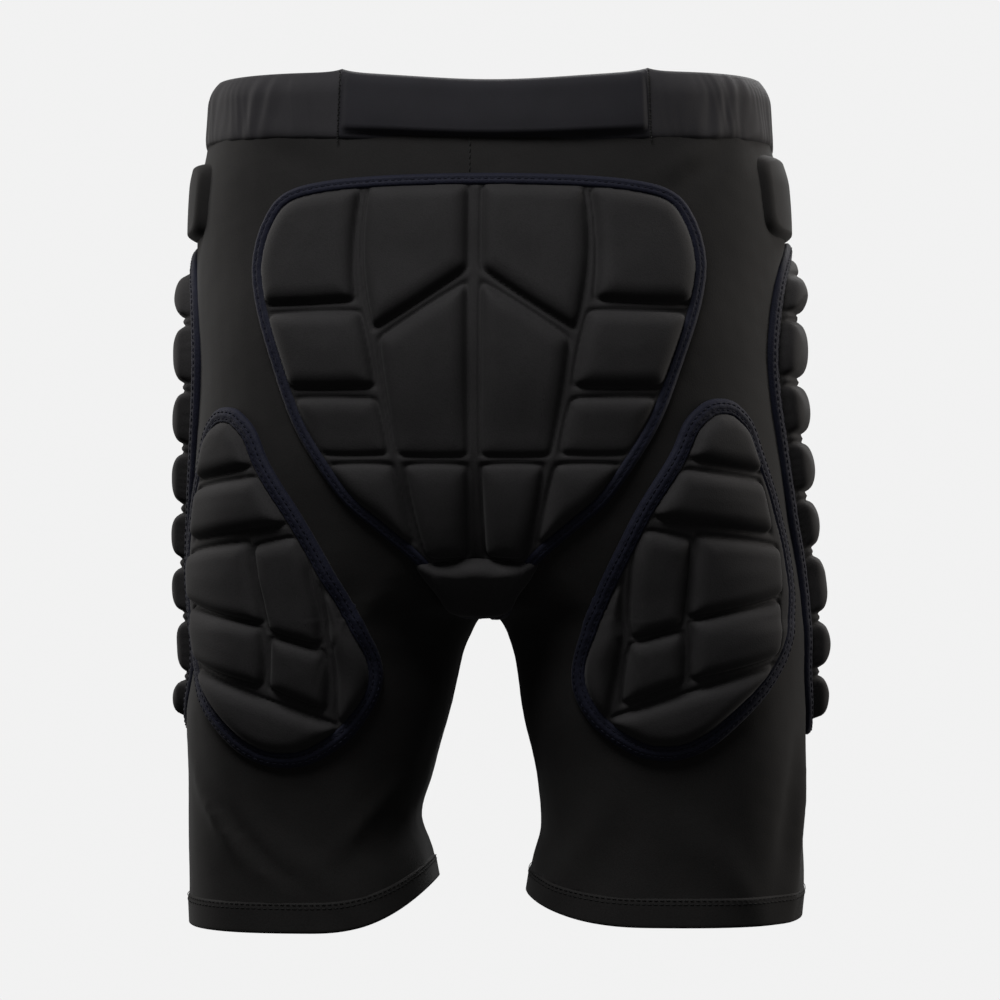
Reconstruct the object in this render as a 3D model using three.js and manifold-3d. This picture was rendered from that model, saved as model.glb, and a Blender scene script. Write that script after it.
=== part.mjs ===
// Padded impact shorts: stretch-fabric shorts with moulded cell pads sewn on and edged with binding.
// Millimetres. +Z is up, +Y is the wearer's front and +X the wearer's right.
// The origin is the middle of the waist opening, level with the top rim of the waistband.
import * as THREE from 'three';
import Module from 'manifold-3d';

const wasm = await Module();
wasm.setup();

// The worn body of the shorts
const RISE = 306; // waist rim down to the crotch
const INSEAM = 168; // crotch down to the hem
const HALF_WIDTH = 169; // middle to the outer side, across the seat
const SEAT_DEPTH = 128; // middle to the fullest point of the seat
const BELLY_DEPTH = 108; // middle to the fullest point of the front
const LEG_UNEVEN = 4; // the right leg stands this much wider on each side, the left leg narrower
const HEM_LIFT = { right: 10, left: 18 }; // how much higher the hem runs at the inner side of the leg
const HEM_HEIGHT = 16; // turned-up hem
const HEM_PROUD = 0.9; // its second layer of cloth
const FOLD_RISE = 4; // highest soft fold of the legs
const WALL = 2.5; // stretch fabric with its lining
const GAP = 0.3; // clearance between pieces

// Waistband
const BAND_HEIGHT = 41;
const BAND_WALL = 4;
const BAND_PROUD = 1.2; // how far the gathered elastic stands out from the cloth below it
const RIB_RISE = 1.1; // gathers of the elastic
const RIB_PITCH = 20;
const PANEL_PROUD = 3; // how far the padded back panel stands out
const PANEL_LEFT = 75; // middle to the panel's left upright seam
const PANEL_RIGHT = 92; // middle to its right upright seam
const EDGE_ROUND = 2.2; // rounding of the band's top and bottom edges

// Pads: slab, raised cells and binding
const SLAB = 3; // flat foam under and between the cells
const PAD_ROOT = -3; // pads are made from this far inside the cloth, then cut back to it
const GROOVE = 6.5; // channel between two cells
const BINDING_WIDTH = 6.5;
const WIDE_BINDING = 8.5; // binding of the thigh and side pads
const BINDING_RISE = 4.2;
const BINDING_LIP = 3.4; // height of the binding's edge against the pad
const SEAT_PAD = { top: 63, height: 237, halfWidth: 123, cell: 10 };
// start: way round the leg from its outer side to the pad's outer edge. The left pad sits lower.
const THIGH_PAD = {
  height: 196, width: 138, cell: 9.5, top: { right: 182, left: 186 }, start: { right: 54, left: 42 },
};
// bed: thicker foam that the cells rise from, bedInset inside the slab's edge. The left pad sits further
// round to the front.
const SIDE_PAD = {
  top: 92, height: 276, halfWidth: 58, cell: 13.5, split: 20, bed: 7.5, bedInset: 5,
  forward: { right: 0, left: 7 },
};
const HIP_BONE_PAD = { top: 49, height: 38, halfWidth: 57, cell: 4.5 };

// Rows of plain numbers become rows with named columns
function table(columns, rows) {
  const names = columns.split(' ');
  return rows.map((row) => Object.fromEntries(names.map((name, i) => [name, row[i]])));
}

// One section of one side of the shorts per row. down: 0 at the waist, 1 at the crotch, 2 at the hem.
// outer, crest and inner are shares of the half width: the outer side, the fullest line of the buttock
// or leg, and the inner edge, which lies past the middle until the legs part. square: 2 is an ellipse.
const SECTIONS = table('down outer back front crest inner square', [
  [0.00, 0.94, 0.805, 0.907, 0.00, -0.10, 2.6],
  [0.125, 0.953, 0.845, 0.93, 0.00, -0.10, 2.6],
  [0.20, 0.985, 0.885, 0.95, 0.00, -0.15, 2.5],
  [0.33, 1.00, 0.94, 0.98, 0.01, -0.40, 2.5],
  [0.52, 1.00, 1.00, 1.00, 0.04, -0.70, 2.5],
  [0.69, 1.005, 0.992, 0.98, 0.10, -0.70, 2.5],
  [0.815, 1.012, 0.922, 0.954, 0.20, -0.60, 2.6],
  [0.88, 1.018, 0.875, 0.935, 0.25, -0.44, 2.6],
  [0.93, 1.022, 0.836, 0.917, 0.325, -0.27, 2.6],
  [0.965, 1.022, 0.81, 0.90, 0.38, -0.15, 2.6],
  [1.00, 1.022, 0.79, 0.88, 0.43, 0.02, 2.6],
  [1.05, 1.022, 0.78, 0.87, 0.45, 0.065, 2.7],
  [1.15, 1.025, 0.75, 0.85, 0.50, 0.11, 2.7],
  [1.33, 1.035, 0.703, 0.815, 0.55, 0.136, 2.7],
  [1.56, 1.037, 0.656, 0.787, 0.59, 0.182, 2.7],
  [1.74, 1.037, 0.633, 0.76, 0.60, 0.197, 2.7],
  [1.875, 1.037, 0.625, 0.74, 0.59, 0.167, 2.7],
  [2.00, 1.03, 0.625, 0.74, 0.58, 0.15, 2.7],
]);

// Soft folds of the legs. turn: 0 at the outer side, 0.25 at the back, 0.5 at the inner side.
// lean: how far the fold turns on its way down. rise is a share of the highest fold.
const FOLDS = table('side turn down lean width length rise', [
  [-1, 0.15, 1.62, 0.10, 0.030, 0.30, 0.9],
  [-1, 0.24, 1.80, 0.08, 0.025, 0.22, 0.6],
  [-1, 0.33, 1.74, -0.05, 0.028, 0.26, 0.5],
  [1, 0.06, 1.62, 0.03, 0.026, 0.36, 0.9],
  [1, 0.20, 1.80, -0.06, 0.026, 0.22, 0.5],
  [1, 0.34, 1.76, 0.05, 0.028, 0.24, 0.6],
  [1, 0.72, 1.70, 0.05, 0.030, 0.30, 0.6],
  [-1, 0.72, 1.70, -0.05, 0.030, 0.30, 0.6],
]);

// Half outline of the seat pad, binding included: shares of its height and half width
const SEAT_OUTLINE = table('down across', [
  [0.00, 0.67], [0.03, 0.87], [0.09, 0.955], [0.18, 1.00], [0.27, 0.985], [0.42, 0.90], [0.56, 0.80],
  [0.66, 0.685], [0.74, 0.57], [0.80, 0.435], [0.86, 0.30], [0.90, 0.23], [0.96, 0.16], [1.00, 0.11],
]);

// Right half of the seat pad's cells by their corners, as shares of its half width and height
const CELL_COLUMNS = 'inTop inTopDown outTop outTopDown outLow outLowDown inLow inLowDown';
const SEAT_CELLS = table(CELL_COLUMNS, [
  [0.035, 0.032, 0.47, 0.037, 0.435, 0.34, 0.035, 0.205],
  [0.51, 0.04, 0.93, 0.045, 0.97, 0.28, 0.525, 0.275],
  [0.50, 0.305, 0.96, 0.308, 0.86, 0.47, 0.435, 0.47],
  [0.43, 0.503, 0.82, 0.50, 0.71, 0.622, 0.38, 0.622],
  [0.035, 0.24, 0.41, 0.365, 0.327, 0.625, 0.035, 0.625],
  [0.035, 0.65, 0.30, 0.65, 0.22, 0.858, 0.05, 0.85],
  [0.36, 0.65, 0.67, 0.652, 0.42, 0.80, 0.27, 0.85],
]);
const TONGUE_CELL = table(CELL_COLUMNS, [
  [-0.25, 0.875, 0.25, 0.875, 0.11, 0.985, -0.11, 0.985],
]);

// Thigh pad outline, binding included: shares of its height, and of its width from the outer edge
const THIGH_OUTLINE = table('down out in', [
  [0.00, 0.35, 0.42], [0.06, 0.22, 0.52], [0.14, 0.165, 0.615], [0.28, 0.075, 0.745], [0.42, 0.01, 0.84],
  [0.56, 0.00, 0.925], [0.70, 0.065, 0.995], [0.80, 0.165, 0.985], [0.90, 0.305, 0.895],
  [0.965, 0.41, 0.775], [1.00, 0.52, 0.66],
]);
const THIGH_CELLS = table(CELL_COLUMNS, [
  [0.487, 0.015, 0.263, 0.036, 0.237, 0.194, 0.592, 0.153],
  [0.645, 0.19, 0.217, 0.224, 0.158, 0.367, 0.75, 0.31],
  [0.52, 0.372, 0.125, 0.408, 0.125, 0.541, 0.546, 0.597],
  [0.763, 0.355, 0.546, 0.383, 0.572, 0.617, 0.77, 0.653],
  [0.539, 0.612, 0.138, 0.556, 0.164, 0.709, 0.52, 0.77],
  [0.776, 0.673, 0.579, 0.638, 0.553, 0.776, 0.776, 0.837],
  [0.868, 0.485, 0.809, 0.51, 0.829, 0.862, 1.00, 0.776],
  [0.816, 0.883, 0.21, 0.74, 0.29, 0.964, 0.77, 1.02],
]);

// Side pad outline, binding included, and the heights of the grooves between its rows of cells
const SIDE_OUTLINE = table('down back front', [
  [0.00, 0.15, 0.15], [0.065, 0.70, 0.66], [0.20, 1.00, 0.97], [0.32, 1.00, 1.00], [0.46, 0.86, 0.94],
  [0.645, 0.60, 0.80], [0.81, 0.52, 0.66], [0.94, 0.34, 0.40], [1.00, 0.10, 0.12],
]);
const SIDE_GROOVES = [0.055, 0.154, 0.28, 0.39, 0.513, 0.633, 0.763, 0.87, 0.975];

// A cell's rings from its root to its crown: how far it spreads, and its height as a share
const CELL_RINGS = table('spread rise', [[0.92, 0.65], [0.60, 1.00]]);

const CELL_POINTS = 8;
const AROUND = 20; // points round one side of the shorts
const ROWS_DOWN = 13; // sections from waist to hem
const OUTLINE_POINTS = { seat: 32, oval: 22 };

// Shapes

// Value of a column between the rows of a table, on a smooth curve that doesn't overshoot
function between(rows, key, column, at) {
  const last = rows.length - 1;
  if (at <= rows[0][key]) return rows[0][column];
  if (at >= rows[last][key]) return rows[last][column];
  const i = rows.findIndex((row) => row[key] > at) - 1;
  const secant = (j) => (rows[j + 1][column] - rows[j][column]) / (rows[j + 1][key] - rows[j][key]);
  const slope = (j) => {
    if (j === 0 || j === last) return secant(Math.min(j, last - 1));
    const product = secant(j - 1) * secant(j);
    return product <= 0 ? 0 : (2 * product) / (secant(j - 1) + secant(j));
  };
  const width = rows[i + 1][key] - rows[i][key];
  const t = (at - rows[i][key]) / width;
  const ease = t * t * (3 - 2 * t);
  return rows[i][column] * (1 - ease) + rows[i + 1][column] * ease
    + width * t * (1 - t) * ((1 - t) * slope(i) - t * slope(i + 1));
}

function shareDown(depth) {
  return depth <= RISE ? depth / RISE : 1 + (depth - RISE) / INSEAM;
}

// Section of one side at a depth below the waist rim, grown outwards or, below zero, inwards
function sectionAt(side, depth, grow) {
  const down = shareDown(depth);
  const column = (name) => between(SECTIONS, 'down', name, down);
  const parting = THREE.MathUtils.smoothstep(down, 0.85, 1.15);
  const hem = depth > RISE + INSEAM - HEM_HEIGHT && grow >= 0 ? HEM_PROUD : 0;
  return {
    down,
    side,
    depth,
    outer: column('outer') * HALF_WIDTH + side * LEG_UNEVEN * parting + grow + hem,
    inner: column('inner') * HALF_WIDTH - side * LEG_UNEVEN * parting - grow - hem,
    crest: column('crest') * HALF_WIDTH,
    back: column('back') * SEAT_DEPTH + grow + hem,
    front: column('front') * BELLY_DEPTH + grow + hem,
    square: column('square'),
  };
}

// Height of the soft folds at a place on one side
function foldRise(section, turn) {
  let rise = 0;
  for (const fold of FOLDS) {
    if (fold.side !== section.side) continue;
    const along = (section.down - fold.down) / fold.length;
    const middle = fold.turn + fold.lean * along;
    const across = (turn - middle) / fold.width;
    rise += fold.rise * FOLD_RISE * Math.exp(-across * across - 2 * along * along);
  }
  return rise;
}

// Point of a section. turn runs from the outer side, over the back and the inner side, to the front.
function sectionPoint(section, turn) {
  const angle = turn * 2 * Math.PI;
  const c = Math.cos(angle);
  const s = Math.sin(angle);
  const power = 2 / (c >= 0 ? section.square : 2);
  const reach = c >= 0 ? section.outer - section.crest : section.crest - section.inner;
  const depth = s >= 0 ? section.back : section.front;
  const fold = foldRise(section, turn);
  const x = section.crest + Math.sign(c) * Math.abs(c) ** power * (reach + fold);
  const y = -Math.sign(s) * Math.abs(s) ** power * (depth + fold);
  const lift = section.side > 0 ? HEM_LIFT.right : HEM_LIFT.left;
  const leg = Math.max(0, section.down - 1) * Math.max(0, -c);
  return new THREE.Vector3(section.side * x, y, -section.depth + lift * leg * leg);
}

// Closed mesh through rings of points. A loop joins the last ring to the first, otherwise both ends
// are closed by fans round the given end points.
function loft(rings, ends) {
  const count = rings[0].length;
  const points = rings.flat();
  const triangles = [];
  const steps = ends ? rings.length - 1 : rings.length;
  for (let i = 0; i < steps; i += 1) {
    const next = (i + 1) % rings.length;
    for (let j = 0; j < count; j += 1) {
      const k = (j + 1) % count;
      const [a, b] = [i * count + j, i * count + k];
      const [c, d] = [next * count + j, next * count + k];
      triangles.push(a, b, d, a, d, c);
    }
  }
  if (ends) {
    const [first, final] = [points.length, points.length + 1];
    points.push(...ends);
    const base = (rings.length - 1) * count;
    for (let j = 0; j < count; j += 1) {
      const k = (j + 1) % count;
      triangles.push(first, k, j, final, base + j, base + k);
    }
  }
  return solidFrom(points, triangles);
}

function middleOf(ring) {
  return ring.reduce((sum, p) => sum.add(p), new THREE.Vector3()).divideScalar(ring.length);
}

// Solid of a mesh, turned so that its faces point out
function solidFrom(points, triangles) {
  let volume = 0;
  for (let i = 0; i < triangles.length; i += 3) {
    const [a, b, c] = [0, 1, 2].map((j) => points[triangles[i + j]]);
    volume += a.dot(new THREE.Vector3().crossVectors(b, c));
  }
  const faces = volume < 0 ? triangles.slice().reverse() : triangles;
  const vertProperties = new Float32Array(points.flatMap((p) => [p.x, p.y, p.z]));
  return new wasm.Manifold(new wasm.Mesh({ numProp: 3, vertProperties, triVerts: new Uint32Array(faces) }));
}

function joined(solids) {
  return solids.reduce((sum, solid) => sum.add(solid));
}

// One side of the shorts as a solid tube, from the waist or just below the band to the hem
function tube(side, grow, top, bottom) {
  const hemTop = RISE + INSEAM - HEM_HEIGHT;
  const depths = [];
  for (let i = 0; i <= ROWS_DOWN; i += 1) {
    const depth = top + ((hemTop - top) * i) / ROWS_DOWN;
    depths.push(depth);
  }
  depths.push(hemTop + EDGE_ROUND / 2, bottom);
  const rings = depths.map((depth) => {
    const section = sectionAt(side, depth, grow);
    return Array.from({ length: AROUND }, (_, i) => sectionPoint(section, i / AROUND));
  });
  return loft(rings, [middleOf(rings[0]), middleOf(rings[rings.length - 1])]);
}

function block(low, high) {
  const ring = (z) => [
    new THREE.Vector3(low[0], low[1], z), new THREE.Vector3(high[0], low[1], z),
    new THREE.Vector3(high[0], high[1], z), new THREE.Vector3(low[0], high[1], z),
  ];
  const rings = [ring(low[2]), ring(high[2])];
  return loft(rings, rings.map(middleOf));
}

const BOTTOM = RISE + INSEAM;
const CLOTH_TOP = BAND_HEIGHT + GAP;
const BEYOND = 2 * WALL;

// Shorts filled in and grown, from the band to the hem
function filled(grow) {
  return joined([1, -1].map((side) => tube(side, grow, CLOTH_TOP, BOTTOM)));
}

// What every pad is cut back to, and the outer face of the flat foam between the cells
const wearer = filled(GAP);
const foam = filled(SLAB);

function bodyHalf(side) {
  const inside = joined([1, -1].map((s) => tube(s, -WALL, CLOTH_TOP - BEYOND, BOTTOM + BEYOND)));
  const reach = 2 * HALF_WIDTH;
  const [near, far] = [side * (GAP / 2), side * reach];
  const half = block([Math.min(near, far), -reach, -BOTTOM - reach], [Math.max(near, far), reach, reach]);
  return filled(0).subtract(inside).intersect(half);
}

// Waistband

// Point of the waistband: one full turn round the waist, from the wearer's right over the back
function bandPoint(turn, depth, grow) {
  const right = Math.cos(turn * 2 * Math.PI) >= 0;
  const section = sectionAt(right ? 1 : -1, depth, grow);
  return sectionPoint(section, right ? turn : 0.5 - turn);
}

// Turn at which the band's back passes a place across
function bandTurn(x) {
  const section = sectionAt(1, 0, 0);
  return Math.acos(Math.sign(x) * (Math.abs(x) / section.outer) ** (section.square / 2)) / (2 * Math.PI);
}

// Upright strip of the waistband between two turns, with gathers of the given rise
function bandStrip(from, to, proud, gather) {
  const girth = 2 * Math.PI * HALF_WIDTH;
  const steps = Math.round(((to - from) * girth) / (RIB_PITCH / 2));
  const rings = [];
  for (let i = 0; i <= steps; i += 1) {
    const turn = from + ((to - from) * i) / steps;
    const out = proud + (i % 2) * gather;
    const profile = [
      [-BAND_WALL, EDGE_ROUND / 2], [out - EDGE_ROUND, 0], [out, EDGE_ROUND],
      [out, BAND_HEIGHT - EDGE_ROUND], [-BAND_WALL, BAND_HEIGHT],
    ];
    rings.push(profile.map(([grow, depth]) => bandPoint(turn, depth, grow)));
  }
  return loft(rings, [middleOf(rings[0]), middleOf(rings[steps])]);
}

// Places on the cloth

// Point on the back of the shorts, straight behind a place across and down
function onBack(across, depth) {
  const side = across < 0 ? -1 : 1;
  const section = sectionAt(side, depth, 0);
  const x = Math.abs(across) - section.crest;
  const share = x >= 0
    ? (x / (section.outer - section.crest)) ** (section.square / 2)
    : x / (section.crest - section.inner);
  return sectionPoint(section, Math.acos(THREE.MathUtils.clamp(share, -1, 1)) / (2 * Math.PI));
}

// Point a given way round the leg from its outer side, back or, below zero, front
function onSide(side) {
  return (round, depth) => {
    const section = sectionAt(side, depth, 0);
    const way = Math.sign(round) || 1;
    const step = 1 / 90;
    let last = sectionPoint(section, 0);
    let gone = 0;
    for (let turn = step; turn < 0.5; turn += step) {
      const next = sectionPoint(section, way * turn);
      const length = next.distanceTo(last);
      if (gone + length >= Math.abs(round)) return last.lerp(next, (Math.abs(round) - gone) / length);
      gone += length;
      last = next;
    }
    return last;
  };
}

// Point a given height above the cloth
function above(place, u, v, height) {
  const step = 5;
  const point = place(u, v);
  const along = place(u + step, v).sub(place(u - step, v));
  const downward = place(u, v + step).sub(place(u, v - step));
  const normal = along.cross(downward).normalize();
  const outward = new THREE.Vector3(point.x / 2, point.y, 0);
  if (normal.dot(outward) < 0) normal.negate();
  return point.addScaledVector(normal, height);
}

// Pads

// Closed outline through table points, evenly spaced, as [across, down] pairs
function smoothOutline(points, count) {
  const curve = new THREE.CatmullRomCurve3(points.map(([u, v]) => new THREE.Vector3(u, v, 0)), true);
  return curve.getSpacedPoints(count).slice(0, count).map((p) => [p.x, p.y]);
}

// Outline moved outwards by a distance
function offsetOutline(outline, distance) {
  const count = outline.length;
  let area = 0;
  outline.forEach(([u, v], i) => {
    const [nu, nv] = outline[(i + 1) % count];
    area += u * nv - nu * v;
  });
  const way = Math.sign(area) * distance;
  return outline.map(([u, v], i) => {
    const [pu, pv] = outline[(i + count - 1) % count];
    const [nu, nv] = outline[(i + 1) % count];
    const length = Math.hypot(nu - pu, nv - pv);
    return [u + (way * (nv - pv)) / length, v - (way * (nu - pu)) / length];
  });
}

// Everything above the cloth inside an outline, up to a height
function insideOutline(place, outline, height) {
  const centre = [0, 1].map((axis) => outline.reduce((sum, p) => sum + p[axis], 0) / outline.length);
  const ring = (spread, rise) => outline.map(([u, v]) => above(
    place, centre[0] + (u - centre[0]) * spread, centre[1] + (v - centre[1]) * spread, rise,
  ));
  const rings = [ring(1, PAD_ROOT), ring(1, BINDING_LIP), ring(1, height), ring(0.5, height)];
  return loft(rings, [above(place, ...centre, PAD_ROOT), above(place, ...centre, height)]);
}

// Raised cell between four corners, with soft shoulders and a crowned top
function cell(place, corners, height) {
  const at = (u, v) => [0, 1].map((axis) => {
    const top = corners[0][axis] * (1 - u) + corners[1][axis] * (1 + u);
    const low = corners[3][axis] * (1 - u) + corners[2][axis] * (1 + u);
    return (top * (1 - v) + low * (1 + v)) / 4;
  });
  const ring = (spread, rise) => Array.from({ length: CELL_POINTS }, (_, i) => {
    const angle = ((i + 0.5) / CELL_POINTS) * 2 * Math.PI;
    const bend = (value) => Math.sign(value) * Math.sqrt(Math.abs(value)) * spread;
    return above(place, ...at(bend(Math.cos(angle)), bend(Math.sin(angle))), rise);
  });
  const rings = [ring(1, PAD_ROOT)];
  for (const { spread, rise } of CELL_RINGS) rings.push(ring(spread, SLAB + (height - SLAB) * rise));
  return loft(rings, [above(place, ...at(0, 0), PAD_ROOT), above(place, ...at(0, 0), height)]);
}

// Pad of cells on a slab, and on a thicker bed where there is one, cut to its outline and back to the cloth
function pad(place, outline, cells, height, beds = []) {
  const lumps = cells.map((corners) => cell(place, corners, height));
  const reach = insideOutline(place, outline, 2 * height);
  const parts = [foam, ...beds, ...lumps].map((part) => part.intersect(reach));
  return joined(parts).subtract(wearer);
}

// Folded tape round a pad's edge, just outside its slab
function binding(place, outline, width) {
  const profile = [
    [GAP, PAD_ROOT], [GAP, BINDING_LIP], [width * 0.45, BINDING_RISE],
    [width, BINDING_RISE * 0.5], [width, PAD_ROOT],
  ];
  const loops = profile.map(([out, rise]) => offsetOutline(outline, out).map(([u, v]) => [u, v, rise]));
  const rings = outline.map((_, i) => loops.map((loop) => above(place, ...loop[i])));
  return loft(rings).subtract(wearer);
}

function cornersOf(row, across, down) {
  return [
    [across(row.inTop), down(row.inTopDown)], [across(row.outTop), down(row.outTopDown)],
    [across(row.outLow), down(row.outLowDown)], [across(row.inLow), down(row.inLowDown)],
  ];
}

const MATERIALS = {
  shell: new THREE.MeshStandardMaterial({ color: 0x1e1d1f, roughness: 0.95, metalness: 0 }),
  band: new THREE.MeshStandardMaterial({ color: 0x262529, roughness: 0.9, metalness: 0 }),
  padCloth: new THREE.MeshStandardMaterial({ color: 0x212023, roughness: 0.9, metalness: 0 }),
  tape: new THREE.MeshStandardMaterial({ color: 0x191b26, roughness: 0.8, metalness: 0 }),
};

const shorts = new THREE.Group();

function addPiece(name, solid, material) {
  const { numProp, vertProperties, triVerts } = solid.getMesh();
  const geometry = new THREE.BufferGeometry();
  const positions = new Float32Array((vertProperties.length / numProp) * 3);
  for (let i = 0; i < positions.length; i += 1) {
    positions[i] = vertProperties[Math.floor(i / 3) * numProp + (i % 3)];
  }
  geometry.setAttribute('position', new THREE.BufferAttribute(positions, 3));
  geometry.setIndex(new THREE.BufferAttribute(new Uint32Array(triVerts), 1));
  geometry.computeVertexNormals();
  const mesh = new THREE.Mesh(geometry, material);
  mesh.name = name;
  shorts.add(mesh);
}

function addBody() {
  addPiece('body_right', bodyHalf(1), MATERIALS.shell);
  addPiece('body_left', bodyHalf(-1), MATERIALS.shell);
}

function addWaistband() {
  const slit = GAP / (2 * Math.PI * HALF_WIDTH) / 2;
  const [right, left] = [bandTurn(PANEL_RIGHT), bandTurn(-PANEL_LEFT)];
  addPiece('waistband_back_panel', bandStrip(right + slit, left - slit, PANEL_PROUD, 0), MATERIALS.band);
  addPiece('waistband_elastic', bandStrip(left + slit, right + 1 - slit, BAND_PROUD, RIB_RISE), MATERIALS.band);
}

function addSeatPad() {
  const across = (share) => share * SEAT_PAD.halfWidth;
  const down = (share) => SEAT_PAD.top + share * SEAT_PAD.height;
  const half = SEAT_OUTLINE.map((row) => [across(row.across), down(row.down)]);
  const other = half.map(([u, v]) => [-u, v]).reverse();
  const edge = offsetOutline(smoothOutline([...half, ...other], OUTLINE_POINTS.seat), -BINDING_WIDTH);
  const cells = SEAT_CELLS.flatMap((row) => [1, -1].map(
    (side) => cornersOf(row, (share) => side * across(share), down),
  ));
  cells.push(cornersOf(TONGUE_CELL[0], across, down));
  addPiece('seat_pad', pad(onBack, edge, cells, SEAT_PAD.cell), MATERIALS.padCloth);
  addPiece('seat_pad_binding', binding(onBack, edge, BINDING_WIDTH), MATERIALS.tape);
}

function addThighPad(name, side) {
  const end = side > 0 ? 'right' : 'left';
  const across = (share) => THIGH_PAD.start[end] + share * THIGH_PAD.width;
  const down = (share) => THIGH_PAD.top[end] + share * THIGH_PAD.height;
  const outer = THIGH_OUTLINE.map((row) => [across(row.out), down(row.down)]);
  const inner = THIGH_OUTLINE.map((row) => [across(row.in), down(row.down)]).reverse();
  const edge = offsetOutline(smoothOutline([...outer, ...inner], OUTLINE_POINTS.oval), -WIDE_BINDING);
  const cells = THIGH_CELLS.map((row) => cornersOf(row, across, down));
  addPiece(name, pad(onSide(side), edge, cells, THIGH_PAD.cell), MATERIALS.padCloth);
  addPiece(`${name}_binding`, binding(onSide(side), edge, WIDE_BINDING), MATERIALS.tape);
}

function addSidePad(name, side) {
  const forward = SIDE_PAD.forward[side > 0 ? 'right' : 'left'];
  const place = (round, depth) => onSide(side)(round - forward, depth);
  const down = (share) => SIDE_PAD.top + share * SIDE_PAD.height;
  const reach = (column, share) => between(SIDE_OUTLINE, 'down', column, share) * SIDE_PAD.halfWidth;
  const back = SIDE_OUTLINE.map((row) => [row.back * SIDE_PAD.halfWidth, down(row.down)]);
  const front = SIDE_OUTLINE.map((row) => [-row.front * SIDE_PAD.halfWidth, down(row.down)]).reverse();
  const edge = offsetOutline(smoothOutline([...back, ...front], OUTLINE_POINTS.oval), -WIDE_BINDING);
  const margin = WIDE_BINDING + GROOVE / 2;
  const cells = [];
  for (let i = 0; i + 1 < SIDE_GROOVES.length; i += 1) {
    const [top, low] = [SIDE_GROOVES[i], SIDE_GROOVES[i + 1]];
    const [y0, y1] = [down(top) + GROOVE / 2, down(low) - GROOVE / 2];
    const split = -SIDE_PAD.split;
    cells.push([
      [split + GROOVE / 2, y0], [reach('back', top) - margin, y0],
      [reach('back', low) - margin, y1], [split + GROOVE / 2, y1],
    ]);
    const [high, deep] = [-reach('front', top) + margin, -reach('front', low) + margin];
    if (split - GROOVE - Math.max(high, deep) < GROOVE) continue;
    cells.push([[high, y0], [split - GROOVE / 2, y0], [split - GROOVE / 2, y1], [deep, y1]]);
  }
  const bed = filled(SIDE_PAD.bed)
    .intersect(insideOutline(place, offsetOutline(edge, -SIDE_PAD.bedInset), 2 * SIDE_PAD.bed));
  addPiece(name, pad(place, edge, cells, SIDE_PAD.cell, [bed]), MATERIALS.padCloth);
  addPiece(`${name}_binding`, binding(place, edge, WIDE_BINDING), MATERIALS.tape);
}

function addHipBonePad(name, side) {
  const { top, height, halfWidth } = HIP_BONE_PAD;
  const corners = [
    [-halfWidth, top], [halfWidth, top], [halfWidth, top + height], [-halfWidth, top + height],
  ];
  addPiece(name, cell(onSide(side), corners, HIP_BONE_PAD.cell).subtract(wearer), MATERIALS.shell);
}

addBody();
addWaistband();
addSeatPad();
for (const [end, side] of [['right', 1], ['left', -1]]) {
  addThighPad(`thigh_pad_${end}`, side);
  addSidePad(`side_pad_${end}`, side);
  addHipBonePad(`hip_bone_pad_${end}`, side);
}

export default shorts;
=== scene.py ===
import math

import bmesh
import bpy
import numpy as np
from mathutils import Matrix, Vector


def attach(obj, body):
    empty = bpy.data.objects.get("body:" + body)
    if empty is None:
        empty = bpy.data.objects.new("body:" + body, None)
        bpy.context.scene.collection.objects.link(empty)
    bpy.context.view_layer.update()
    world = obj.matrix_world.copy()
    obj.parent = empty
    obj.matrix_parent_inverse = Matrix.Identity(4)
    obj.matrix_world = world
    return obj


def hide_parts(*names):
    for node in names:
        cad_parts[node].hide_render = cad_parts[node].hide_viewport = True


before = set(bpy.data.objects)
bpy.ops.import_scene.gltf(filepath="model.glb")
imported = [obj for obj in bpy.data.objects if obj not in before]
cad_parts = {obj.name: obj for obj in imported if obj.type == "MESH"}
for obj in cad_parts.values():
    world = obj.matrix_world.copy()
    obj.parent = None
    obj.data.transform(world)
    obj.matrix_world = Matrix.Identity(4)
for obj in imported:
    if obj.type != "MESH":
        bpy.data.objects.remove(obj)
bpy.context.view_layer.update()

# Camera, floor and light
# The shorts hang as worn, seen from the back by a long lens that stands a little to the right. A pale studio
# surrounds them. Soft light from above and from both sides catches the edges of the pads, a weak one fills
# in below, and one lights the front.
VIEW_TURN = math.radians(4.0)
VIEW_DISTANCE = 2.2
VIEW_SPAN = 0.570  # width that the frame shows at the middle of the shorts
VIEW_ASIDE = 0.0051
VIEW_HEIGHT = -0.236
SENSOR_WIDTH = 36.0
FLOOR = -0.80
FLOOR_RADIUS = 1.6
FLOOR_SIDES = 96
BACKDROP_GLOW = 0.885  # what the camera sees
ROOM_GLOW = 0.09  # what lights the shorts from all round

camera_data = bpy.data.cameras.new("camera")
camera = bpy.data.objects.new("camera", camera_data)
bpy.context.scene.collection.objects.link(camera)
bpy.context.scene.camera = camera
camera_data.sensor_width = SENSOR_WIDTH
camera_data.lens = SENSOR_WIDTH * VIEW_DISTANCE / VIEW_SPAN
camera.location = (
    VIEW_ASIDE * math.cos(VIEW_TURN) + VIEW_DISTANCE * math.sin(VIEW_TURN),
    VIEW_ASIDE * math.sin(VIEW_TURN) - VIEW_DISTANCE * math.cos(VIEW_TURN),
    VIEW_HEIGHT,
)
camera.rotation_euler = (math.radians(90.0), 0.0, VIEW_TURN)


def mesh_piece(name, points, faces, smooth=True):
    """A mesh object at the origin, with its place in its mesh."""
    mesh = bpy.data.meshes.new(name)
    mesh.from_pydata([tuple(p) for p in points], [], [tuple(int(i) for i in f) for f in faces])
    mesh.update()
    if smooth:
        mesh.polygons.foreach_set("use_smooth", [True] * len(mesh.polygons))
    piece = bpy.data.objects.new(name, mesh)
    bpy.context.scene.collection.objects.link(piece)
    return piece


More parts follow.
